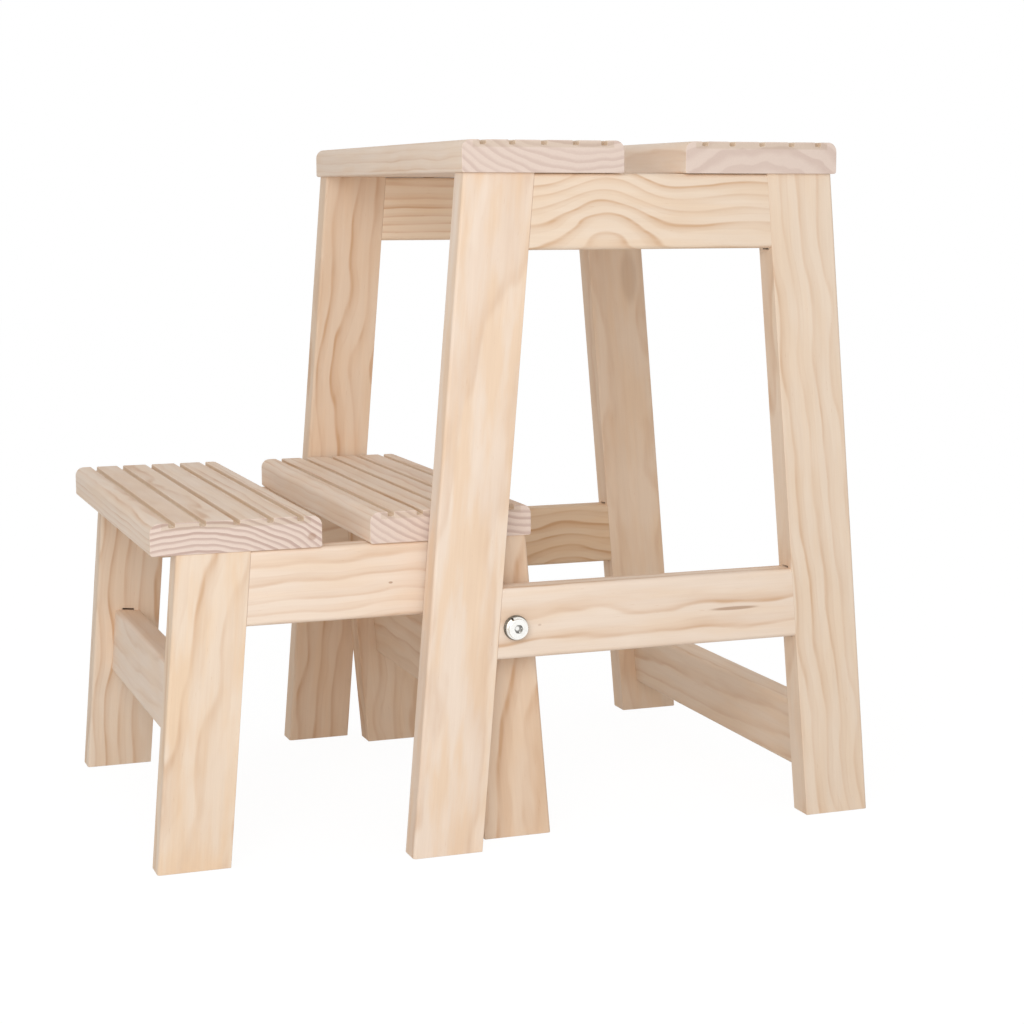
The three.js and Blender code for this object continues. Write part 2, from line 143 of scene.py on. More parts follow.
def carved(mesh, cutters):
    """The mesh with the cutters taken out of it by an exact boolean."""
    if not cutters:
        return mesh
    body = bpy.data.objects.new("uncut", mesh)
    bpy.context.scene.collection.objects.link(body)
    tools = []
    for cutter in cutters:
        tool = bpy.data.objects.new("cutter", cutter)
        bpy.context.scene.collection.objects.link(tool)
        tools.append(tool)
        cut = body.modifiers.new("cut", "BOOLEAN")
        cut.operation, cut.solver, cut.object = "DIFFERENCE", "EXACT", tool
    depsgraph = bpy.context.evaluated_depsgraph_get()
    result = bpy.data.meshes.new_from_object(body.evaluated_get(depsgraph))
    result.name = mesh.name
    for extra in (body, *tools):
        bpy.data.objects.remove(extra)
    return result


def add_piece(name, mesh, node, material):
    """A piece that stands for a CAD node: smooth but for its sharp edges, with normals that lean
    to the larger faces, so that flat faces stay flat beside a round."""
    piece = bpy.data.objects.new(name, mesh)
    bpy.context.scene.collection.objects.link(piece)
    mesh.materials.clear()
    mesh.materials.append(material)
    mesh.shade_smooth()
    mesh.set_sharp_from_angle(angle=SHARP_ANGLE)
    shading = piece.modifiers.new("flat faces", "WEIGHTED_NORMAL")
    shading.keep_sharp = True
    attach(piece, BODY_OF[node])
    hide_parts(node)


# Board shapes
def rounded_rectangle(across, through, rounds, steps=5):
    """Outline (v, w) of a rectangle whose corners are quarter circles: each corner's centre plus
    its radius times (cos, sin) of angles from 0 to 90 degrees, turned by quarter turns. rounds is
    one radius, or one for each corner in the order +v+w, -v+w, -v-w, +v-w."""
    turn = np.linspace(0, math.pi / 2, steps + 1)
    corners = ((1, 1), (-1, 1), (-1, -1), (1, -1))
    return np.concatenate([
        np.stack([sv * (across / 2 - radius) + radius * np.cos(turn + quarter * math.pi / 2),
                  sw * (through / 2 - radius) + radius * np.sin(turn + quarter * math.pi / 2)], -1)
        for quarter, ((sv, sw), radius) in enumerate(zip(corners, np.broadcast_to(rounds, 4)))])


def inset(outline, depth):
    """Moves each point of an outline inwards along the mitre of its two edges, so that every
    edge moves in by the depth."""
    edge = np.roll(outline, -1, 0) - outline
    edge /= np.linalg.norm(edge, axis=1, keepdims=True)
    normal = np.stack([edge[:, 1], -edge[:, 0]], -1)
    before = np.roll(normal, 1, 0)
    mitre = (normal + before) / (1 + np.sum(normal * before, 1, keepdims=True))
    return outline - depth * mitre


def slat_outline():
    """Outline (v, w) of a slat: round top edges, slightly round bottom edges and five grooves in
    the top, whose mouths and bottom corners are quarter circles as well."""
    half_v, half_w, lip, root = SLAT_WIDTH / 2, SLAT_THICKNESS / 2, GROOVE_LIP, GROOVE_ROOT

    def arc(v, w, radius, start, end, count):
        turn = np.radians(np.linspace(start, end, count + 1))
        return np.stack([v + radius * np.cos(turn), w + radius * np.sin(turn)], -1)

    bottom, top, groove = SLAT_BOTTOM_ROUND, SLAT_TOP_ROUND, GROOVE_WIDTH / 2
    rows = [arc(-half_v + bottom, -half_w + bottom, bottom, 180, 270, 4),
            arc(half_v - bottom, -half_w + bottom, bottom, 270, 360, 4),
            arc(half_v - top, half_w - top, top, 0, 90, 8)]
    floor = half_w - GROOVE_DEPTH
    for place in reversed(GROOVE_PLACES):
        rows += [arc(place + groove + lip, half_w - lip, lip, 90, 180, 3),
                 arc(place + groove - root, floor + root, root, 0, -90, 3),
                 arc(place - groove + root, floor + root, root, 270, 180, 3),
                 arc(place - groove - lip, half_w - lip, lip, 0, 90, 3)]
    rows.append(arc(-half_v + top, half_w - top, top, 90, 180, 8))
    return np.concatenate(rows)


def eased_stations(ease, steps=3):
    """Pairs (distance back from the end, inset) along a quarter circle of the given radius, from
    the very end of the board to where its full section starts."""
    turn = np.linspace(math.pi / 2, 0, steps + 1)
    return [(ease * (1 - math.sin(t)), ease * (1 - math.cos(t))) for t in turn]


def board_rings(outline, low_end, high_end, ease):
    """Outlines of a board along its grain. low_end and high_end give u of the two sawn ends as
    functions of v, so that an end can be sawn askew. Near an end the outline is inset along a
    quarter circle."""
    rings = []
    for end, inwards in ((low_end, 1), (high_end, -1)):
        part = []
        for back, depth in eased_stations(ease):
            v, w = inset(outline, depth).T
            part.append(np.stack([end(v) + inwards * back, v, w], -1))
        rings += part if inwards > 0 else part[::-1]
    return np.array(rings)


def tenoned_rings(height, shoulder, tenon_length):
    """Outlines of a rail with a tenon at each end: tip, tenon, shoulder, body and the same again
    mirrored. shoulder gives the distance of the shoulder from the middle as a function of v."""
    outline = rounded_rectangle(height, THICKNESS, RAIL_ARRIS)
    tenon = rounded_rectangle(height - TENON_NARROWER, TENON_THICKNESS, TENON_ROUND)
    stations = [(tenon_length, inset(tenon, TENON_TIP_INSET)),
                (tenon_length - TENON_TIP_LENGTH, tenon), (0, tenon)]
    stations += [(-back, inset(outline, depth)) for back, depth in eased_stations(SHOULDER_EASE, 2)]
    half = np.array([np.stack([shoulder(ring[:, 0]) + reach, ring[:, 0], ring[:, 1]], -1)
                     for reach, ring in stations])
    mirrored = half[::-1] * (-1, 1, 1)
    return np.concatenate([half, mirrored])


def level_box(x_low, x_high, y_at, z_low, z_high):
    """Cutter between two heights, sheared so that its y range at a height is y_at(height)."""
    rings = []
    for z in (z_low, z_high):
        y_low, y_high = y_at(z)
        rings.append([(x_low, y_low, z), (x_high, y_low, z),
                      (x_high, y_high, z), (x_low, y_high, z)])
    return skin("mortise", rings)


def bore(middle, axis, radius, reach):
    """Cutter for a round hole: a circle carried along the axis to both sides of the middle."""
    turn = np.linspace(0, FULL_TURN, BORE_CORNERS, endpoint=False)
    ring = np.zeros((BORE_CORNERS, 3))
    ring[:, (axis + 1) % 3] = radius * np.cos(turn)
    ring[:, (axis + 2) % 3] = radius * np.sin(turn)
    along = np.zeros(3)
    along[axis] = reach
    return skin("bore", [middle + ring - along, middle + ring + along])


def dowel_bore(node):
    """Upright hole round a dowel, a little wider and longer than the dowel is."""
    half = half_box(node)
    return bore(centre(node), 2, half[1] + BORE_CLEARANCE, half[2] + BORE_CLEARANCE)


def pivot_bore(side_name):
    """Hole along X for a pivot bolt, through everything on its side of the stool."""
    return bore(centre(f"pivot_washer_{side_name}"), 0, PIVOT_BORE / 2, PIVOT_BORE_REACH)


def side_mortise(leg, end, z_low, z_high):
    """Slot in the narrow inner edge of a leg for a rail's tenon. It leans with the leg."""
    x, y_middle, z_middle = centre(leg)
    depth = TENON_SIDE + MORTISE_SPARE

    def y_at(z):
        inner = y_middle - end * SLOPE * (z - z_middle) - end * LEG_SPAN / 2
        return sorted((inner - end * OVERRUN, inner + end * depth))

    return level_box(x - MORTISE_WIDTH / 2, x + MORTISE_WIDTH / 2, y_at, z_low, z_high)


def cross_mortise(rail, side, end):
    """Slot in the broad inner face of a leg for a cross rail's tenon."""
    half_v, half_w = RAIL_HEIGHT / 2 + MORTISE_SLACK, MORTISE_WIDTH / 2
    tip = half_box(rail)[0]
    rings = []
    for u in (tip - TENON_CROSS - OVERRUN, tip + MORTISE_SPARE):
        corners = [(side * u, v, w) for v, w in
                   ((-half_v, -half_w), (half_v, -half_w), (half_v, half_w), (-half_v, half_w))]
        rings.append(in_place(np.array(corners), rail, board_axes("cross", end)))
    return skin("mortise", rings)


# Where boards lie
def board_axes(kind, end):
    """Directions of a board's u, v and w as the rows of a matrix. Legs and cross rails lean
    towards the middle of their stool, so theirs depend on the end that they stand at."""
    sin, cos = end * math.sin(LEAN), math.cos(LEAN)
    return np.array({
        "leg": ((0, -sin, cos), (0, -cos, -sin), (1, 0, 0)),
        "side": ((0, 1, 0), (0, 0, 1), (1, 0, 0)),
        "slat": ((1, 0, 0), (0, 1, 0), (0, 0, 1)),
        "cross": ((1, 0, 0), (0, -sin, cos), (0, -cos, -sin)),
    }[kind])


def in_place(points, node, axes):
    """Board coordinates to the place of the CAD node, whose box has the board's middle."""
    return centre(node) + points @ axes


# Node trees as formulas
def plug(tree, entry, value):
    """Links a term to a socket, or writes a plain value on it."""
    if isinstance(value, Term):
        tree.links.new(value.socket, entry)
    else:
        entry.default_value = value


class Term:
    """Something a node tree works out. Arithmetic on it adds Math nodes to the tree."""

    def __init__(self, tree, socket):
        self.tree, self.socket = tree, socket

    def math(self, operation, *others):
        node = self.tree.nodes.new("ShaderNodeMath")
        node.operation = operation
        for entry, value in zip(node.inputs, (self, *others)):
            plug(self.tree, entry, value)
        return Term(self.tree, node.outputs[0])

    def __add__(self, other):
        return self.math("ADD", other)

    def __sub__(self, other):
        return self.math("SUBTRACT", other)

    def __mul__(self, other):
        return self.math("MULTIPLY", other)

    def __truediv__(self, other):
        return self.math("DIVIDE", other)

    def vector(self, operation, *others, output=0):
        node = self.tree.nodes.new("ShaderNodeVectorMath")
        node.operation = operation
        for entry, value in zip(node.inputs, (self, *others)):
            plug(self.tree, entry, value)
        return Term(self.tree, node.outputs[output])

    def times(self, vector):
        """A vector or colour, plain or a term, times this value."""
        node = self.tree.nodes.new("ShaderNodeVectorMath")
        node.operation = "SCALE"
        plug(self.tree, node.inputs[0], vector)
        plug(self.tree, node.inputs["Scale"], self)
        return Term(self.tree, node.outputs[0])

    def parts(self):
        node = self.tree.nodes.new("ShaderNodeSeparateXYZ")
        plug(self.tree, node.inputs[0], self)
        return [Term(self.tree, output) for output in node.outputs]

    def ramp(self, low, high, to_low=0.0, to_high=1.0):
        """Smooth step between two values, clamped."""
        node = self.tree.nodes.new("ShaderNodeMapRange")
        node.interpolation_type = "SMOOTHSTEP"
        for entry, value in zip(node.inputs, (self, low, high, to_low, to_high)):
            plug(self.tree, entry, value)
        return Term(self.tree, node.outputs[0])

    def noise(self, cells, seed=0.0, detail=2.0, roughness=0.5):
        """Noise whose cells have the given size along each axis, from 0 to 1 about 0.5."""
        node = self.tree.nodes.new("ShaderNodeTexNoise")
        node.noise_dimensions = "4D"
        plug(self.tree, node.inputs["Vector"], self.vector("DIVIDE", cells))
        plug(self.tree, node.inputs["W"], seed)
        node.inputs["Scale"].default_value = 1
        node.inputs["Detail"].default_value = detail
        node.inputs["Roughness"].default_value = roughness
        return Term(self.tree, node.outputs[0])

    def random(self):
        """A value from 0 to 1 for each whole number."""
        node = self.tree.nodes.new("ShaderNodeTexWhiteNoise")
        node.noise_dimensions = "1D"
        plug(self.tree, node.inputs["W"], self)
        return Term(self.tree, node.outputs[0])

    def towards(self, other, factor):
        """Colour mix: this colour at factor 0, the other at factor 1."""
        node = self.tree.nodes.new("ShaderNodeMix")
        node.data_type = "RGBA"
        plug(self.tree, node.inputs[0], factor)
        plug(self.tree, node.inputs[6], self)
        plug(self.tree, node.inputs[7], other)
        return Term(self.tree, node.outputs[2])


def new_group(name, inputs, outputs):
    """Node group with named sockets: returns it, its inputs as terms and its output node."""
    tree = bpy.data.node_groups.new(name, "ShaderNodeTree")
    for direction, sockets in (("INPUT", inputs), ("OUTPUT", outputs)):
        for label, kind in sockets.items():
            tree.interface.new_socket(label, in_out=direction, socket_type="NodeSocket" + kind)
    entry, leave = tree.nodes.new("NodeGroupInput"), tree.nodes.new("NodeGroupOutput")
    return tree, {label: Term(tree, entry.outputs[label]) for label in inputs}, leave


def colour(red, green, blue):
    """Linear colour of an sRGB colour written from 0 to 255."""
    channels = np.array((red, green, blue)) / 255
    linear = np.where(channels <= 0.04045, channels / 12.92, ((channels + 0.055) / 1.055) ** 2.4)
    return (*linear, 1.0)


RING_TERMS = (
    "Pith Across", "Pith Through", "Ring Width", "Ring Start", "Slope",
    "Wave Size", "Wave Length", "Wave Start",
    "Hump Across", "Hump Through", "Hump Place", "Hump Length",
)
MARK_NAMES = ("Mark", "Second Mark")
MARK_COLOUR = (158, 112, 76)
# What early wood is multiplied by for late wood, warm patches, and the ends and their lines
LATE_TINT = np.array((0.79, 0.64, 0.51, 1))
PATCH_TINT = np.array((0.98, 0.905, 0.81, 1))
END_TINT = np.array((0.89, 0.88, 0.93, 1))
END_LINE_TINT = np.array((0.64, 0.56, 0.58, 1))
# The same for painted shade in a groove, and how much each channel takes of the fine light and dark
GROOVE_SHADE_TINT = (0.90, 0.89, 0.84)
SHADE_TINT = (0.75, 1.0, 1.2)


def timber_group():
    """Growth rings round a pith that runs beside the board. The distance from the pith, in ring
    widths, is sqrt(across^2 + through^2): across and through are the board's v and w less the
    pith's place, which slopes and waves along the grain and may have one hump. Its fraction runs
    through one ring: pale early wood, darkening late wood, and a quick end. Sawn ends have a tint
    of their own, the grooves of a slat get painted shade, and up to two dark marks lie on top."""
    inputs = {"Place": "Vector", "Normal": "Vector", "Grain": "Vector",
              **{label: "Float" for label in RING_TERMS},
              "Seed": "Float", "Line Strength": "Float", "Patch Strength": "Float",
              "End Strength": "Float", "Groove Shade Strength": "Float",
              "Early Wood": "Color", "Late Wood": "Color", "Patch Wood": "Color",
              "End Wood": "Color", "End Line": "Color",
              **{f"{mark} {term}": kind for mark in MARK_NAMES for term, kind in
                 (("Place", "Vector"), ("Size", "Vector"), ("Strength", "Float"))}}
    tree, get, leave = new_group("timber grain", inputs, {
        "Color": "Color", "Roughness": "Float", "Height": "Float"})
    place, seed = get["Place"], get["Seed"]
    u, v, w = place.parts()

    turn = (u / get["Wave Length"] + get["Wave Start"]) * FULL_TURN
    wave = turn.math("SINE") * get["Wave Size"]
    from_hump = (u - get["Hump Place"]) / get["Hump Length"]
    hump = (from_hump * from_hump * -1.0).math("EXPONENT")
    across = v - get["Pith Across"] - get["Slope"] * u + wave + hump * get["Hump Across"]
    through = w - get["Pith Through"] + hump * get["Hump Through"]
    wander = place.noise((55, 16, 16), seed, 1.5, 0.5) - 0.5
    rings = ((across * across + through * through).math("SQRT") / get["Ring Width"]
             + get["Ring Start"] + wander)
    fraction, number = rings.math("FRACT"), rings.math("FLOOR") + seed * 13.0
    halo = fraction.ramp(0.25, 0.78) * fraction.ramp(0.80, 0.96, 1.0, 0.0)
    edge = fraction.ramp(0.64, 0.80) * fraction.ramp(0.82, 0.93, 1.0, 0.0)
    false_edge = fraction.ramp(0.36, 0.43) * fraction.ramp(0.44, 0.52, 1.0, 0.0)
    beads = place.noise((26, 3.5, 3.5), seed + 3.0, 2).ramp(0.3, 0.7, 0.35, 1.1)
    fading = place.noise((80, 14, 14), seed + 5.0, 1).ramp(0.3, 0.7, 0.4, 1.25)
    line = (halo * 0.50 + edge * beads * 0.52) * (number.random() * 0.8 + 0.5) * fading
    line = line + false_edge * beads * (number + 0.37).random() * 0.22

    fibre = place.noise((34, 0.55, 0.55), seed + 7.0, 3, 0.6)
    streak = place.noise((60, 2.6, 2.6), seed + 11.0, 2)
    mottle = place.noise((45, 17, 17), seed + 17.0, 2)
    patch = place.noise((70, 12, 12), seed + 41.0, 3).ramp(0.40, 0.66) * get["Patch Strength"]
    dash = place.noise((7, 0.7, 0.7), seed + 23.0, 1).ramp(0.71, 0.80)
    shade = (fibre - 0.5) * 0.10 + (streak - 0.5) * 0.10 + (mottle - 0.5) * 0.08
    side = get["Early Wood"].towards(get["Patch Wood"], patch)
    side = side.towards(get["Late Wood"], line * get["Line Strength"] + dash * 0.35)
    side = side.vector("MULTIPLY", shade.times(SHADE_TINT).vector("ADD", (1, 1, 1)))

    fine = place.noise((3, 0.5, 0.5), seed + 29.0, 2)
    end_line = fraction.ramp(0.30, 0.74) * fraction.ramp(0.86, 0.99, 1.0, 0.0)
    end_line = end_line * (number.random() * 0.5 + 0.5) * get["End Strength"]
    end = ((fine - 0.5) * 0.16 + 1.0).times(get["End Wood"].towards(get["End Line"], end_line))
    at_end = get["Normal"].vector("DOT_PRODUCT", get["Grain"], output=1).math("ABSOLUTE")
    at_end = at_end.ramp(0.55, 0.85)
    wood = side.towards(end, at_end)
    top, outermost = SLAT_THICKNESS / 2, GROOVE_PLACES[-1]
    floor = top - GROOVE_DEPTH
    # Painted shade down in the grooves of a slat
    groove = w.ramp(top - 1.0, top - 0.2, 1.0, 0.0) * w.ramp(floor - 2.0, floor - 1.0)
    groove = groove * v.math("ABSOLUTE").ramp(outermost + 6, outermost + 7, 1.0, 0.0)
    groove = groove * get["Groove Shade Strength"]
    wood = wood.towards(wood.vector("MULTIPLY", GROOVE_SHADE_TINT), groove)

    height = line * 0.35 + fibre * 0.5 + dash * -0.4
    for mark in MARK_NAMES:
        away = place.vector("SUBTRACT", get[f"{mark} Place"]).vector("DIVIDE", get[f"{mark} Size"])
        spot = away.vector("LENGTH", output=1).ramp(0.5, 1.0, 1.0, 0.0) * get[f"{mark} Strength"]
        wood, height = wood.towards(colour(*MARK_COLOUR), spot), height - spot * 0.6
    plug(tree, leave.inputs["Color"], wood)
    plug(tree, leave.inputs["Roughness"], (fibre - 0.5) * 0.16 - line * 0.06 + 0.62)
    plug(tree, leave.inputs["Height"], height)
    return tree


def new_material(name):
    """Material with a Principled shader, its tree, and object coordinates as a term."""
    material = bpy.data.materials.new(name)
    material.use_nodes = True
    tree = material.node_tree
    shader = tree.nodes["Principled BSDF"]
    place = Term(tree, tree.nodes.new("ShaderNodeTexCoord").outputs["Object"])
    return material, tree, shader, place


def mapped(tree, place, origin, axes):
    """Object coordinates in metres to a piece's own coordinates in mm, by one Mapping node."""
    node = tree.nodes.new("ShaderNodeMapping")
    node.vector_type = "POINT"
    turn = Matrix(axes.tolist())
    node.inputs["Scale"].default_value = (1 / MM,) * 3
    node.inputs["Rotation"].default_value = turn.to_euler("XYZ")
    node.inputs["Location"].default_value = -(turn @ Vector(origin))
    plug(tree, node.inputs["Vector"], place)
    return Term(tree, node.outputs[0])


def add_bump(tree, shader, height, distance, strength):
    node = tree.nodes.new("ShaderNodeBump")
    node.inputs["Distance"].default_value = distance
    node.inputs["Strength"].default_value = strength
    plug(tree, node.inputs["Height"], height)
    tree.links.new(node.outputs[0], shader.inputs["Normal"])


def place_group(tree, group, values):
    """A group node with its inputs set from a dict of labels."""
    node = tree.nodes.new("ShaderNodeGroup")
    node.node_tree = group
    for label, value in values.items():
        plug(tree, node.inputs[label], value)
    return node


TIMBER = timber_group()


def timber_material(name, node, axes, look, seed, marks=()):
    """Wood of one board, turned to its grain and centred on it. A look is what grain returns,
    and a mark is (place, size, strength)."""
    material, tree, shader, place = new_material(name)
    coordinates = tree.nodes["Texture Coordinate"]
    early, figure = look
    early = np.array(colour(*early))
    values = {
        "Place": mapped(tree, place, centre(node), axes),
        "Normal": Term(tree, coordinates.outputs["Normal"]),
        "Grain": axes[0].tolist(), "Seed": seed, **figure,
        "Early Wood": early, "Late Wood": early * LATE_TINT, "Patch Wood": early * PATCH_TINT,
        "End Wood": early * END_TINT, "End Line": early * END_LINE_TINT,
        **{f"{mark} Size": (1, 1, 1) for mark in MARK_NAMES},
    }
    for mark, (at, size, depth) in zip(MARK_NAMES, marks):
        values.update({f"{mark} Place": at, f"{mark} Size": size, f"{mark} Strength": depth})
    grain = place_group(tree, TIMBER, values)
    tree.links.new(grain.outputs["Color"], shader.inputs["Base Color"])
    tree.links.new(grain.outputs["Roughness"], shader.inputs["Roughness"])
    shader.inputs["Specular IOR Level"].default_value = 0.3
    add_bump(tree, shader, Term(tree, grain.outputs["Height"]), 0.0003, 0.22)
    return material


# Look of each board
def grain(tone, strength, pith, ring, start, slope=0, wave=(0, 100, 0), hump=(0, 0, 0, 50),
          patches=0.5, ends=0.45, groove_shade=0):
    """Look of one board. tone is its early wood in sRGB and strength that of its lines. The pith
    lies at pith (v, w), rings are ring mm wide and the first starts at the share start of one.
    The pith slopes by slope (mm per mm of u), waves by wave (size, length, start as a share of a
    turn), and has a hump (size across, size through, place, length). patches, ends and grooved
    are the strengths of warm patches, of lines on the ends and of shade in grooves."""
    rings = (*pith, ring, start, slope, *wave, *hump)
    return tone, {"Line Strength": strength, "Patch Strength": patches, "End Strength": ends,
                  "Groove Shade Strength": groove_shade, **dict(zip(RING_TERMS, rings))}


# Five tones of early wood, and which board has which
# The palest tone is painted light: it lifts the left top rail, which stands in shade
PALE_WITH_PAINTED_LIGHT, CREAM, STRAW = (250, 228, 203), (242, 222, 203), (239, 218, 196)
TAN, HONEY = (236, 211, 186), (226, 197, 166)
BOARDS = {
    "tall_leg_front_right": grain(CREAM, 0.4, (60, -50), 26, 0.05, -0.02, (2, 150, 0),
                                  (40, 0, 190, 70), patches=1.2),
    "tall_leg_rear_right": grain(STRAW, 0.55, (-70, -30), 10, 0.55, 0.055, (1.5, 90, 0.8),
                                 patches=0.4),
    "tall_leg_front_left": grain(TAN, 0.9, (-60, -20), 12, 0.2, -0.01, (1.5, 120, 0.3),
                                 (-7, 0, 75, 40)),
    "tall_leg_rear_left": grain(TAN, 0.45, (-60, -120), 14.5, 0.5, hump=(-4, 0, -25, 30),
                                patches=0.6),
    "tall_top_rail_right": grain(STRAW, 0.8, (-26, -18.5), 6, 0.26, 0, (1.5, 110, 0.1),
                                 (-4, -8.5, -32, 28)),
    # Painted light: the palest tone brightens this rail, which stands in shade
    "tall_top_rail_left": grain(PALE_WITH_PAINTED_LIGHT, 0.85, (25, -10), 5, 0.5),
    "tall_middle_rail_right": grain(CREAM, 0.85, (30, -30), 10.5, 0.3, 0.02, (1.3, 95, 0.25),
                                    (3, 0, 65, 30)),
    "tall_middle_rail_left": grain(HONEY, 0.85, (-40, -15), 9, 0.05, hump=(0, -12, 68, 25)),
    "tall_cross_rail_rear": grain(STRAW, 0.5, (40, -50), 9, 0.2, 0.03, (2, 240, 0.2)),
    "low_leg_front_right": grain(STRAW, 0.8, (-60, -80), 12, 0, -0.15, hump=(4, 0, -62, 12),
                                 patches=1.1),
    "low_leg_rear_right": grain(TAN, 1.0, (-60, -60), 12, 0.35, -0.2, (3, 110, 0)),
    "low_leg_front_left": grain(STRAW, 0.9, (-40, -25), 8, 0, 0.02, (2, 95, 0.4), patches=0.4),
    "low_leg_rear_left": grain(TAN, 1.2, (-60, -50), 10, 0.75, hump=(-8, 0, -88, 28)),
    "low_top_rail_right": grain(CREAM, 0.95, (40, -30), 7.5, 0.72, 0.025, (1, 70, 0.35)),
    "low_top_rail_left": grain(STRAW, 0.8, (45, -30), 9, 0.1, 0.03, (2, 210, 0.3)),
    "low_cross_rail_front": grain(CREAM, 0.4, (35, -45), 8, 0.7, 0.03, (2, 230, 0.3)),
    "low_cross_rail_rear": grain(TAN, 0.8, (-45, -40), 9, 0.2, 0.02, (2, 240, 0.2)),
    "tall_slat_front": grain(CREAM, 0.5, (27, 105), 5, 0.15, ends=0.55, groove_shade=1),
    "tall_slat_rear": grain(CREAM, 0.5, (0, -78), 12, 0.77, ends=0.5, groove_shade=1),
    "low_slat_front": grain(CREAM, 0.7, (-28, -110), 3.8, 0, ends=1.4, groove_shade=1),
    "low_slat_rear": grain(CREAM, 0.7, (70, 170), 4.5, 0.8, ends=0.9, groove_shade=1),
}
BEECH = grain((224, 190, 150), 0.5, (20, 5), 2.5, 0)
# Pin knots, darker spots and one dark streak: place (u, v, w) and size in mm, and strength
MARKS = {
    "tall_leg_rear_left": [((137, -10, 9.5), (26, 9, 5), 0.22)],
    "low_slat_front": [((148.5, 47, -3), (4.5, 3.5, 3), 0.4)],
    "low_top_rail_right": [((22, -1.5, 9.5), (1.8, 0.9, 4), 0.6)],
    "tall_middle_rail_right": [((-77, -2, 9.5), (1.5, 0.9, 4), 0.3),
                               ((60, -0.5, 9.5), (21, 1.5, 4), 0.6)],
}


# Boards
def add_board(node, kind, end, rings, cutters):
    """Board with wood of its own: each has a seed by its place in BOARDS."""
    axes, name = board_axes(kind, end), f"{node}_board"
    mesh = carved(skin(name, in_place(rings, node, axes)), cutters)
    seed = 5.0 * list(BOARDS).index(node)
    wood = timber_material(f"pine of {node}", node, axes, BOARDS[node], seed, MARKS.get(node, ()))
    add_piece(name, mesh, node, wood)


def add_leg(stool, end_name, side_name, crossed):
    """Leg with level ends. A level end lies at u = (z + v sin(lean)) / cos(lean). Towards high v
    lies the outer edge of a front leg, and the inner edge of a rear one."""
    node = f"{stool}_leg_{end_name}_{side_name}"
    end, side, half = ENDS[end_name], SIDES[side_name], LEG_HEIGHT[stool] / 2
    sin, cos = math.sin(LEAN), math.cos(LEAN)
    high_v, low_v = (INNER_ARRIS, OUTER_ARRIS)[::end]
    outline = rounded_rectangle(LEG_WIDTH, THICKNESS, (high_v, low_v, low_v, high_v))
    rings = board_rings(outline, lambda v: (-half + end * v * sin) / cos,
                        lambda v: (half + end * v * sin) / cos, END_EASE)
    low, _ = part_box(f"{stool}_top_rail_{side_name}")
    cutters = [side_mortise(node, end, low.z / MM - MORTISE_SLACK, 2 * half + OVERRUN),
               dowel_bore(f"{stool}_dowel_{end_name}_{side_name}_leg")]
    if stool == "tall":
        low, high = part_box(f"tall_middle_rail_{side_name}")
        cutters.append(side_mortise(node, end, low.z / MM - MORTISE_SLACK,
                                    high.z / MM + MORTISE_SLACK))
    elif end_name == "rear":
        cutters.append(pivot_bore(side_name))
    if crossed:
        cutters.append(cross_mortise(f"{stool}_cross_rail_{end_name}", side, end))
    add_board(node, "leg", end, rings, cutters)


def add_side_rail(stool, node, cutters):
    """Rail whose shoulders lie against the leaning inner edges of the legs."""
    z_middle, height = centre(node)[2], 2 * half_box(node)[2]

    def shoulder(v):
        spread = TOP_HALF_SPREAD[stool] + SLOPE * (LEG_HEIGHT[stool] - z_middle - v)
        return spread - LEG_SPAN - SHOULDER_GAP

    rings = tenoned_rings(height, shoulder, TENON_SIDE + SHOULDER_GAP)
    add_board(node, "side", 1, rings, cutters)


def add_cross_rail(stool, end_name):
    """Rail whose shoulders lie square against the broad inner faces of the legs."""
    node = f"{stool}_cross_rail_{end_name}"
    inner = half_box(node)[0] - TENON_CROSS - SHOULDER_GAP
    rings = tenoned_rings(RAIL_HEIGHT, lambda v: inner + 0 * v, TENON_CROSS + SHOULDER_GAP)
    add_board(node, "cross", ENDS[end_name], rings, [])


def add_slat(stool, end_name):
    """Slat with square ends, and bores in its underside for four dowels."""
    node = f"{stool}_slat_{end_name}"
    half = half_box(node)[0]
    rings = board_rings(slat_outline(), lambda v: -half + 0 * v, lambda v: half + 0 * v, END_EASE)
    cutters = [dowel_bore(f"{stool}_dowel_{end_name}_{side_name}_{seat}")
               for side_name in SIDES for seat in ("leg", "rail")]
    add_board(node, "slat", 1, rings, cutters)


CROSSED = {("tall", "rear"), ("low", "front"), ("low", "rear")}
for stool in ("tall", "low"):
    for end_name in ENDS:
        for side_name in SIDES:
            add_leg(stool, end_name, side_name, (stool, end_name) in CROSSED)
        add_slat(stool, end_name)
    for side_name in SIDES:
        bores = [dowel_bore(f"{stool}_dowel_{end_name}_{side_name}_rail") for end_name in ENDS]
        add_side_rail(stool, f"{stool}_top_rail_{side_name}", bores)
for side_name in SIDES:
    add_side_rail("tall", f"tall_middle_rail_{side_name}", [pivot_bore(side_name)])
for stool, end_name in sorted(CROSSED):
    add_cross_rail(stool, end_name)


# Turned hardware
AROUND = 96
TURN = np.linspace(0, FULL_TURN, AROUND, endpoint=False)
HEXAGON = 1 / np.cos(TURN % (math.pi / 3) - math.pi / 6)


def spun(x, reach):
    """Rings (x, y, z) round the X axis. reach holds the distance from the axis, for each axial
    place in its rows and for each angle of TURN in its columns."""
    return np.stack([x[:, None] + 0 * reach, reach * np.cos(TURN), reach * np.sin(TURN)], -1)


def turned(rows):
    """Rings of a turned shape. A row is (axial place, radius, hexness): at hexness 0 the ring is
    a circle, at 1 a hexagon with that half width across its flats."""
    x, radius, hexness = np.array(rows, float).T
    return spun(x, radius[:, None] * (1 + hexness[:, None] * (HEXAGON - 1)))


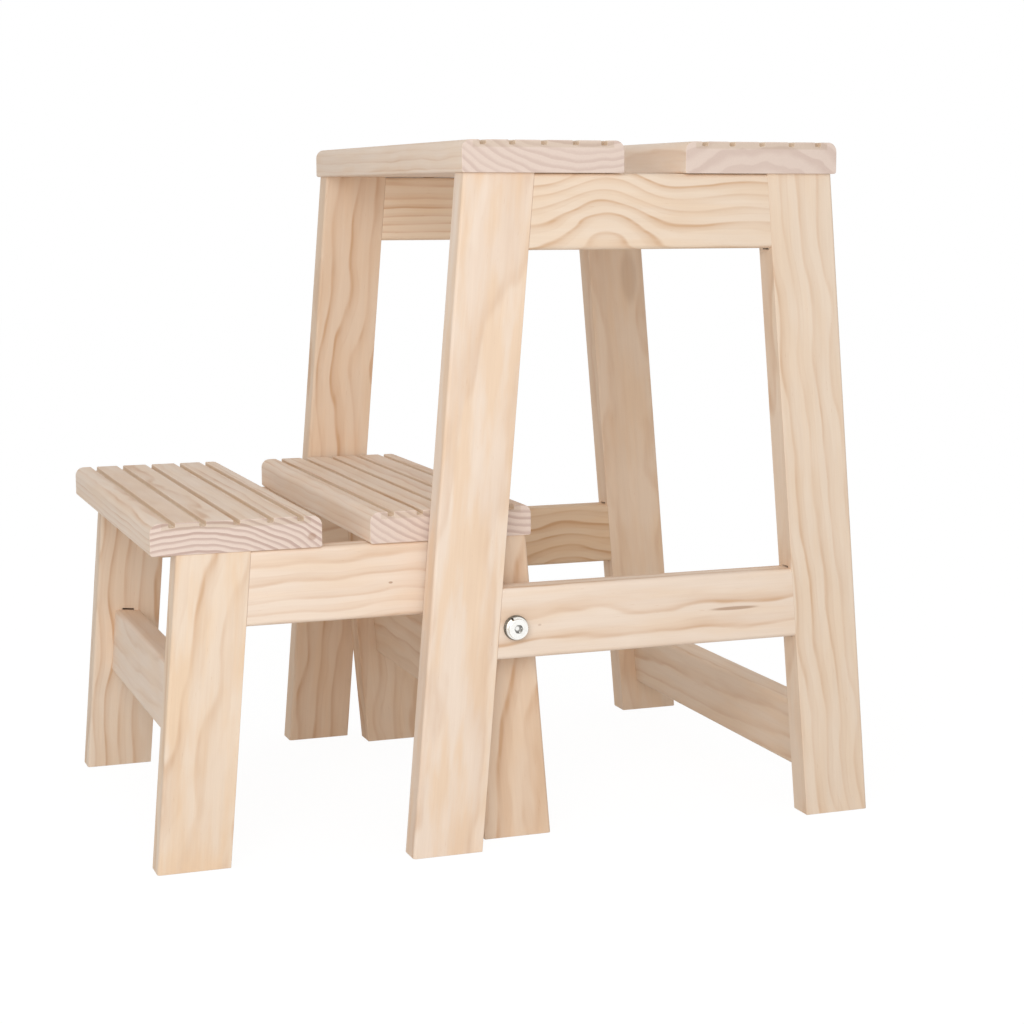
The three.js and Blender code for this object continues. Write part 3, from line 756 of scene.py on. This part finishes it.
def rounded_ring_rows(outer, thickness, edge):
    """Profile of a washer as closed rows: bore, face, rounded rim, face."""
    turn = np.linspace(0, math.pi / 2, 5)
    near = [(edge * (1 - math.sin(t)), outer - edge * (1 - math.cos(t)), 0) for t in turn[::-1]]
    far = [(thickness - x, radius, 0) for x, radius, _ in near[::-1]]
    mouth = HOLE_RADIUS + RING_BEVEL
    return [(RING_BEVEL, HOLE_RADIUS, 0), (0, mouth, 0), *near, *far,
            (thickness, mouth, 0), (thickness - RING_BEVEL, HOLE_RADIUS, 0)]


def thread_rings():
    """Rings of a screw thread, from its high end to its low one: the radius falls by the depth
    where the angle less the turns made so far is half a turn away, as a triangular wave. The
    wave fades out towards both ends."""
    count = int((THREAD_HIGH - THREAD_LOW) / THREAD_STEP)
    x = np.linspace(THREAD_HIGH, THREAD_LOW, count)
    phase = (x[:, None] / THREAD_PITCH - TURN / FULL_TURN) % 1
    fade = (np.clip((THREAD_HIGH - x[:, None]) / THREAD_RUN_OUT, 0, 1)
            * np.clip((x[:, None] - THREAD_LOW) / THREAD_LEAD_IN, 0, 1))
    return spun(x, BOLT_RADIUS - THREAD_DEPTH * np.abs(2 * phase - 1) * fade)


def machined_group():
    """Lathe marks: noise over the distance from the axis and over the place along it, with worn
    patches. Painted shade darkens the socket and the rim of the head, whose face lies at Socket
    Mouth, and more weakly the rims of all that is wider behind the head. Places are measured
    from the washer's middle, X outwards along the pivot axis."""
    tree, get, leave = new_group(
        "machined metal", {"Place": "Vector", "Metal": "Color", "Dull": "Color", "Painted Shade": "Color",
                           "Dullness": "Float", "Smooth": "Float", "Socket Mouth": "Float"},
        {"Color": "Color", "Roughness": "Float", "Height": "Float"})
    x, y, z = get["Place"].parts()
    radius = (y * y + z * z).math("SQRT")
    node = tree.nodes.new("ShaderNodeCombineXYZ")
    plug(tree, node.inputs[0], radius)
    plug(tree, node.inputs[1], x)
    polar = Term(tree, node.outputs[0])
    marks = polar.noise((0.09, 0.3, 1), 1.0, 1)
    patches = get["Place"].noise((2.2, 2.2, 2.2), 5.0, 3, 0.6)
    worn = patches.ramp(0.42, 0.68) * get["Dullness"]
    depth = get["Socket Mouth"] - x
    # Painted shade down in the hollow of the socket
    socket = radius.ramp(0.9, 1.8) * depth.ramp(SOCKET_DEPTH, SOCKET_DEPTH + 0.2, 1.0, 0.0)
    socket = socket * radius.ramp(SOCKET_RADIUS + 0.1, SOCKET_RADIUS + 0.35, 1.0, 0.0)
    # Painted shade on the rim of the head, and more weakly on the rims behind it
    head_rim_shade = radius.ramp(HEAD_RADIUS - 0.2, HEAD_RADIUS) * depth.ramp(0.6, 0.8, 1.0, 0.0)
    washer_rim_shade = radius.ramp(LOCK_RADIUS - 0.4, LOCK_RADIUS - 0.15)
    washer_rim_shade = washer_rim_shade * depth.ramp(HEAD_HEIGHT - 0.2, HEAD_HEIGHT) * 0.5
    rim = head_rim_shade.math("MAXIMUM", washer_rim_shade)
    metal = get["Metal"].towards(get["Dull"], worn)
    plug(tree, leave.inputs["Color"],
         metal.towards(get["Painted Shade"], socket * 0.78).towards(get["Painted Shade"], rim * 0.6))
    plug(tree, leave.inputs["Roughness"], get["Smooth"] + worn * 0.2 + (marks - 0.5) * 0.12)
    plug(tree, leave.inputs["Height"], marks + patches * 0.4)
    return tree


MACHINED = machined_group()


# Finishes of the metal: its colour, that of its worn patches, how worn it is, and its roughness
FINISHES = {"bright": ((252, 251, 247), (228, 226, 220), 0.35, 0.24),
            # The washers' darker zinc is partly painted shade: it is darkened for the shade under
            # the bolt's head
            "dull": ((160, 152, 140), (108, 99, 88), 0.8, 0.4)}
# Colour of the painted shade in the bolt's socket and round the rims behind its head
PAINTED_SHADE_COLOUR = (78, 74, 68)


def metal_material(finish, side_name):
    """Zinc-plated steel of one side's pivot, with lathe marks that run round its axis."""
    metal, dull, dullness, smooth = FINISHES[finish]
    material, tree, shader, place = new_material(f"{finish} zinc {side_name}")
    side, middle = SIDES[side_name], centre(f"pivot_washer_{side_name}")
    bolt = f"pivot_bolt_{side_name}"
    mouth = abs(centre(bolt)[0]) + half_box(bolt)[0] - abs(middle[0])
    surface = place_group(tree, MACHINED, {
        "Place": mapped(tree, place, middle, np.diag((side, side, 1.0))), "Metal": colour(*metal),
        "Dull": colour(*dull), "Painted Shade": colour(*PAINTED_SHADE_COLOUR), "Dullness": dullness,
        "Smooth": smooth, "Socket Mouth": mouth})
    tree.links.new(surface.outputs["Color"], shader.inputs["Base Color"])
    tree.links.new(surface.outputs["Roughness"], shader.inputs["Roughness"])
    shader.inputs["Metallic"].default_value = 1
    add_bump(tree, shader, Term(tree, surface.outputs["Height"]), 0.00004, 0.3)
    return material


def nylon_material():
    """Pale nylon with a fine speckle."""
    material, tree, shader, place = new_material("nylon")
    speckle = place.noise((0.6 * MM,) * 3, 2.0, 3)
    pale = Term(tree, tree.nodes.new("ShaderNodeRGB").outputs[0])
    pale.socket.default_value = colour(238, 236, 228)
    plug(tree, shader.inputs["Base Color"], ((speckle - 0.5) * 0.08 + 1.0).times(pale))
    plug(tree, shader.inputs["Roughness"], (speckle - 0.5) * 0.2 + 0.45)
    add_bump(tree, shader, speckle, 0.0001, 0.15)
    return material


NYLON = nylon_material()
METALS = {(finish, side_name): metal_material(finish, side_name)
          for side_name in SIDES for finish in FINISHES}


def on_pivot(rings, node, side):
    """Rings whose x is measured from the node's face nearest the stool's middle, outwards."""
    low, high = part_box(node)
    inner = min(abs(low.x), abs(high.x)) / MM
    middle = centre(node)
    flip = np.array((side, side, 1))
    return (rings + (inner, 0, 0)) * flip + (0, middle[1], middle[2])


def add_hardware(piece, node, rings, side, material, looped=False):
    """Piece on the pivot axis. The x of its rings starts at its node's inner face."""
    mesh = skin(piece, on_pivot(rings, node, side), looped)
    add_piece(piece, mesh, node, material)


def bolt_rings(length):
    """Low head with a hexagon socket, shank and threaded tip: a profile spun round the axis.
    x = 0 at the tip."""
    under, floor = length - HEAD_HEIGHT, length - SOCKET_DEPTH
    socket = [(floor, 0.02, 0), (floor + 0.15, 1.2, 0), (floor + 0.3, 2.25, 0.6),
              (floor + 0.4, SOCKET_RADIUS, 1), (length - SOCKET_BEVEL, SOCKET_RADIUS, 1),
              (length, SOCKET_RADIUS + SOCKET_BEVEL, 0.8)]
    rim = [(length - HEAD_ROUND * (1 - math.cos(t)), HEAD_RADIUS - HEAD_ROUND * (1 - math.sin(t)), 0)
           for t in np.linspace(0, math.pi / 2, 5)]
    neck = [(under + 0.15, HEAD_RADIUS, 0), (under, 6.35, 0), (under, 4.2, 0),
            (under - 0.2, BOLT_RADIUS, 0), (THREAD_HIGH + 0.5, BOLT_RADIUS, 0)]
    tip = [(0.8, 3.75, 0), (0.25, 3.35, 0), (0, 3.1, 0), (0, 0.02, 0)]
    return np.concatenate([turned(socket + rim + neck), thread_rings(), turned(tip)])


def lock_washer_rings():
    """Section carried round the axis from one side of the split to the other. The split leans:
    the start and end angles move with the axial place. Towards the split one end steps out and
    the other in, and the last of the ring flares."""
    section = rounded_rectangle(LOCK_THICKNESS, LOCK_RADIUS - HOLE_RADIUS, LOCK_EDGE, 3)
    x = section[:, 0] + LOCK_THICKNESS / 2
    radius = section[:, 1] + (LOCK_RADIUS + HOLE_RADIUS) / 2
    lean = math.tan(SPLIT_LEAN) * (x - LOCK_THICKNESS / 2)
    split = math.pi / 2 + SPLIT_PAST_TOP
    start = split + (SPLIT_HALF_WIDTH - lean) / radius
    end = split + FULL_TURN - (SPLIT_HALF_WIDTH + lean) / radius
    share = np.linspace(0, 1, AROUND + 1)[:, None]
    angle = start + (end - start) * share
    step = SPLIT_STEP * (share - 0.5) * np.clip(np.abs(share - 0.5) * 6 - 2, 0, 1)
    radius = radius + SPLIT_FLARE * np.clip(share * 24 - 23, 0, 1)
    return np.stack([x + step, radius * np.cos(angle), radius * np.sin(angle)], -1)


def nut_rings():
    """Lock nut: a hexagon whose corners are cut by a cone at both ends, then the rolled collar
    and the recess over the nylon ring. x = 0 at the collar's face."""
    low, high = COLLAR_HEIGHT, COLLAR_HEIGHT + NUT_HEIGHT
    x = np.concatenate([np.linspace(low, low + 1.4, 8), [high - 1.2],
                        np.linspace(high - 1.0, high, 8)])
    cone = NUT_CONE_RADIUS + np.minimum(x - low, high - x) * NUT_CONE_SLOPE
    body = spun(x, np.minimum(NUT_RADIUS * HEXAGON, cone[:, None]))
    rolled = [(COLLAR_LIP * (1 - math.cos(t)), COLLAR_LIP_PLACE + COLLAR_LIP * math.sin(t), 0)
              for t in np.linspace(0, math.pi / 2, 5)]
    first = [(1.0, 4.25, 0), (0.6, 4.7, 0), (0.15, 4.72, 0), *rolled, (low, 5.7, 0)]
    last = [(high, 4.6, 0), (high - 0.4, 4.2, 0)]
    return np.concatenate([turned(first), body, turned(last)])


def insert_rings():
    """Nylon ring in the collar of the nut: a closed profile spun round the axis."""
    rows = [(0.55, 4.12, 0), (0.35, 4.2, 0), (0.32, 4.6, 0), (0.5, 4.68, 0), (2.2, 4.68, 0),
            (2.2, 4.12, 0)]
    return turned(rows)


WASHER = turned(rounded_ring_rows(WASHER_RADIUS, WASHER_THICKNESS, WASHER_EDGE))
SPACER = turned(rounded_ring_rows(SPACER_RADIUS, SPACER_THICKNESS, SPACER_EDGE))
for side_name, side in SIDES.items():
    bright, dull = METALS["bright", side_name], METALS["dull", side_name]
    bolt, nut = f"pivot_bolt_{side_name}", f"pivot_nut_{side_name}"
    add_hardware(f"bolt_{side_name}", bolt, bolt_rings(2 * half_box(bolt)[0]), side, bright)
    add_hardware(f"lock_washer_{side_name}", f"pivot_lock_washer_{side_name}",
                 lock_washer_rings(), side, bright)
    # The washers take the darker zinc, which is partly painted shade
    for piece in ("washer", "inner_washer"):
        add_hardware(f"{piece}_{side_name}", f"pivot_{piece}_{side_name}", WASHER, side,
                     dull, looped=True)
    add_hardware(f"spacer_{side_name}", f"pivot_spacer_{side_name}", SPACER, side,
                 NYLON, looped=True)
    add_hardware(f"nut_{side_name}", nut, nut_rings(), side, bright, looped=True)
    add_hardware(f"nut_insert_{side_name}", nut, insert_rings(), side, NYLON, looped=True)


# Dowels
def dowel_rings(half_length):
    """Fluted dowel, upright: the radius is that of the dowel less a flute, the fourth power of a
    cosine, whose positive and negative swings each make a flute. Both tips are bevelled."""
    z = np.array([-1, -0.93, -0.9, 0.9, 0.93, 1]) * half_length
    tip = [DOWEL_RADIUS - DOWEL_BEVEL, DOWEL_RADIUS - 0.05, DOWEL_RADIUS]
    flute = np.cos(FLUTES / 2 * TURN) ** 4 * FLUTE_DEPTH
    flute = flute * (np.abs(z[:, None]) < 0.95 * half_length)
    return np.roll(spun(z, np.array(tip + tip[::-1])[:, None] - flute), -1, -1)


DOWEL_AXES = np.array(((0, 0, 1), (1, 0, 0), (0, 1, 0)))
for node in sorted(name for name in frame["nodes"] if "_dowel_" in name):
    wood = timber_material(f"beech of {node}", node, DOWEL_AXES, BEECH, 200.0)
    mesh = skin(f"{node}_fluted", dowel_rings(half_box(node)[2]) + centre(node))
    add_piece(f"{node}_fluted", mesh, node, wood)


# Floor, light and camera
def seen_directly(tree):
    """1 where a camera, glossy or transmission ray looks at the surface, else 0."""
    path = tree.nodes.new("ShaderNodeLightPath")
    camera, glossy, transmission = (Term(tree, path.outputs[f"Is {kind} Ray"])
                                    for kind in ("Camera", "Glossy", "Transmission"))
    return camera.math("MAXIMUM", glossy).math("MAXIMUM", transmission)


def make_floor():
    """Plain pale floor. Seen directly it is nearly all white glow, with enough plain paint left
    to keep the stool's shadow."""
    mesh = bpy.data.meshes.new("floor")
    reach, below, glow_strength, paint_share = 6.0, -0.3 * MM, 1.07, 0.12
    mesh.from_pydata([(-reach, -reach, below), (reach, -reach, below), (reach, reach, below),
                      (-reach, reach, below)], [], [(0, 1, 2, 3)])
    floor = bpy.data.objects.new("floor", mesh)
    bpy.context.scene.collection.objects.link(floor)
    material, tree, shader, _ = new_material("pale floor")
    shader.inputs["Base Color"].default_value = (0.8, 0.8, 0.8, 1)
    shader.inputs["Roughness"].default_value = 0.9
    shader.inputs["Specular IOR Level"].default_value = 0.0
    glow = tree.nodes.new("ShaderNodeEmission")
    glow.inputs["Strength"].default_value = glow_strength
    look, choice = (tree.nodes.new("ShaderNodeMixShader") for _ in range(2))
    look.inputs[0].default_value = paint_share
    tree.links.new(glow.outputs[0], look.inputs[1])
    tree.links.new(shader.outputs[0], look.inputs[2])
    tree.links.new(seen_directly(tree).socket, choice.inputs[0])
    tree.links.new(shader.outputs[0], choice.inputs[1])
    tree.links.new(look.outputs[0], choice.inputs[2])
    tree.links.new(choice.outputs[0], tree.nodes["Material Output"].inputs["Surface"])
    mesh.materials.append(material)


def make_world(level):
    """Even white light from all round, and a white background for rays that look at it."""
    world = bpy.data.worlds.new("studio")
    world.use_nodes = True
    tree = world.node_tree
    plain = tree.nodes["Background"]
    plain.inputs["Color"].default_value = (1, 1, 1, 1)
    plain.inputs["Strength"].default_value = level
    white = tree.nodes.new("ShaderNodeBackground")
    white.inputs["Color"].default_value = (1, 1, 1, 1)
    white.inputs["Strength"].default_value = 1
    choice = tree.nodes.new("ShaderNodeMixShader")
    tree.links.new(seen_directly(tree).socket, choice.inputs[0])
    tree.links.new(plain.outputs[0], choice.inputs[1])
    tree.links.new(white.outputs[0], choice.inputs[2])
    tree.links.new(choice.outputs[0], tree.nodes["World Output"].inputs["Surface"])
    bpy.context.scene.world = world


# Height of the lamp's aim, in metres: about half the stool's
AIM_HEIGHT = 0.22


def add_lamp(name, towards, distance, size, watts):
    """Square lamp that faces the stool from the given direction."""
    lamp = bpy.data.lights.new(name, "AREA")
    lamp.shape, lamp.size, lamp.energy = "SQUARE", size, watts
    holder = bpy.data.objects.new(name, lamp)
    direction = Vector(towards).normalized()
    holder.location = Vector((0, 0, AIM_HEIGHT)) + direction * distance
    holder.rotation_euler = direction.to_track_quat("Z", "Y").to_euler()
    bpy.context.scene.collection.objects.link(holder)


def make_camera():
    """Camera at the photograph's place, fitted to the stool's corners and edges."""
    azimuth, elevation = math.radians(69.0), math.radians(8.59)
    focal_pixels, picture_pixels, place = 2164.53, 1024, (1.44219, -0.46957, 0.41561)
    back = Vector((math.sin(azimuth) * math.cos(elevation),
                   -math.cos(azimuth) * math.cos(elevation), math.sin(elevation)))
    right = Vector((math.cos(azimuth), math.sin(azimuth), 0))
    turn = Matrix((right, back.cross(right), back)).transposed().to_4x4()
    data = bpy.data.cameras.new("camera")
    data.sensor_width = 36
    data.lens = focal_pixels / picture_pixels * data.sensor_width
    data.shift_x, data.shift_y = -0.0502, 0.0110
    camera = bpy.data.objects.new("camera", data)
    camera.matrix_world = Matrix.Translation(place) @ turn
    bpy.context.scene.collection.objects.link(camera)
    bpy.context.scene.camera = camera


make_floor()
make_world(level=0.6)
add_lamp("key", towards=(0.88, -0.40, 0.29), distance=1.5, size=0.9, watts=8.8)
make_camera()
bpy.context.scene.view_settings.view_transform = "Standard"
